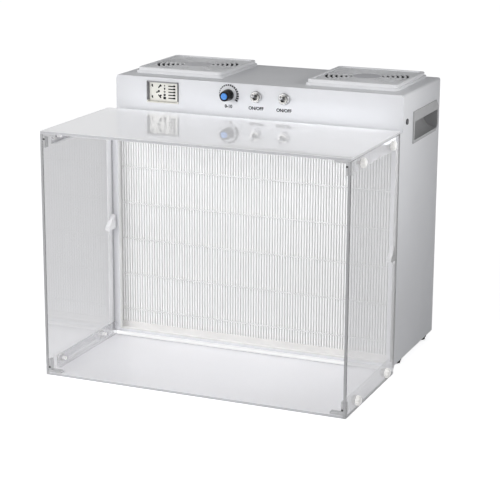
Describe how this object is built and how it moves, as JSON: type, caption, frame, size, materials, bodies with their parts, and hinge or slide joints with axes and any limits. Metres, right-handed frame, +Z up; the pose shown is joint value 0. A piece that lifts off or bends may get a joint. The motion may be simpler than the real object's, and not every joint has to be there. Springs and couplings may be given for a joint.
{
  "type": "laminar flow hood",
  "caption": "Bench-top laminar flow hood: white steel cabinet with lid fans, pleated filter face, control strip and an open-fronted acrylic enclosure.",
  "frame": {"origin": "on the bench, under the middle of the footprint", "axes": "+X to the user's right, -Y towards the user, +Z up"},
  "size_m": [0.438, 0.376, 0.3832],
  "materials": {
    "white_paint": "satin powder coat",
    "black_rubber": "matt",
    "black_steel": "black oxide",
    "zinc_steel": "bright zinc",
    "filter_frame_metal": "mill finish",
    "gasket_foam": "closed-cell foam",
    "filter_paper": "glass-fibre paper",
    "filter_sealant": "cast polyurethane",
    "glue_bead": "hot-melt glue",
    "fan_plastic": "moulded, satin",
    "guard_base_plastic": "moulded, satin",
    "guard_plastic": "moulded, satin",
    "pad_foam": "open-cell foam",
    "black_plastic": "moulded, satin",
    "blue_plastic": "gloss",
    "display_glass": "gloss",
    "switch_metal": "nickel plated",
    "chrome_plate": "polished",
    "handle_plastic": "fine texture",
    "opal_acrylic": "polished opal sheet",
    "clear_acrylic": "polished clear sheet",
    "rail_acrylic": "translucent bar",
    "white_nylon": "moulded nylon",
    "light_diffuser": "frosted",
    "circuit_board": "solder mask"
  },
  "bodies": {
    "cabinet": {"base_pan": "white_paint", "cabinet_shell": "white_paint", "control_board": "circuit_board", "corner_bracket_bottom_left": "rail_acrylic", "corner_bracket_bottom_right": "rail_acrylic", "corner_bracket_top_left": "rail_acrylic", "corner_bracket_top_right": "rail_acrylic", "display_bezel": "black_plastic", "display_module": "display_glass", "dust_pad_left": "pad_foam", "dust_pad_right": "pad_foam", "fan_frame_left": "fan_plastic", "fan_frame_right": "fan_plastic", "fan_guard_left": "guard_plastic", "fan_guard_right": "guard_plastic", "fan_screws": "zinc_steel", "feet": "black_rubber", "filter_beads": "glue_bead", "filter_frame": "filter_frame_metal", "filter_gasket": "gasket_foam", "filter_media": "filter_paper", "filter_retainer_left": "zinc_steel", "filter_retainer_right": "zinc_steel", "filter_sealant": "filter_sealant", "front_fascia": "white_paint", "guard_base_left": "guard_base_plastic", "guard_base_right": "guard_base_plastic", "handle_cup_left": "handle_plastic", "handle_cup_right": "handle_plastic", "hood_bottom": "opal_acrylic", "hood_rail_bottom_left": "rail_acrylic", "hood_rail_bottom_right": "rail_acrylic", "hood_rail_top_left": "rail_acrylic", "hood_rail_top_right": "rail_acrylic", "hood_seal_left": "black_rubber", "hood_seal_right": "black_rubber", "hood_side_left": "clear_acrylic", "hood_side_right": "clear_acrylic", "hood_top": "opal_acrylic", "light_bar": "light_diffuser", "light_switch_body": "switch_metal", "pot_nut": "chrome_plate", "power_inlet": "black_plastic", "power_switch_body": "switch_metal", "rear_panel": "white_paint", "rear_screws": "zinc_steel", "side_clip_left": "white_nylon", "side_clip_right": "white_nylon", "side_screws": "black_steel", "speed_pot": "switch_metal", "switch_nuts": "chrome_plate", "thumb_screws": "white_nylon"},
    "fan_left": {"fan_impeller_left": "fan_plastic"},
    "fan_right": {"fan_impeller_right": "fan_plastic"},
    "speed_dial": {"knob_cap": "blue_plastic", "pot_shaft": "switch_metal", "speed_knob": "black_plastic"},
    "light_lever": {"light_switch_lever": "chrome_plate"},
    "power_lever": {"power_switch_lever": "chrome_plate"}
  },
  "joints": [
    {"name": "fan_left_spin", "type": "hinge", "parent": "cabinet", "child": "fan_left", "pos_m": [-0.127, 0.115, 0.36], "axis": [0, 0, 1], "continuous": true},
    {"name": "fan_right_spin", "type": "hinge", "parent": "cabinet", "child": "fan_right", "pos_m": [0.127, 0.115, 0.36], "axis": [0, 0, 1], "continuous": true},
    {"name": "speed_turn", "type": "hinge", "parent": "cabinet", "child": "speed_dial", "pos_m": [-0.039, 0.022, 0.3584], "axis": [0, -1, 0], "range_deg": [-150, 150]},
    {"name": "light_toggle", "type": "hinge", "parent": "cabinet", "child": "light_lever", "pos_m": [0.0016, 0.0225, 0.3584], "axis": [1, 0, 0], "range_deg": [0, 25]},
    {"name": "power_toggle", "type": "hinge", "parent": "cabinet", "child": "power_lever", "pos_m": [0.0422, 0.0225, 0.3584], "axis": [1, 0, 0], "range_deg": [0, 25]}
  ]
}
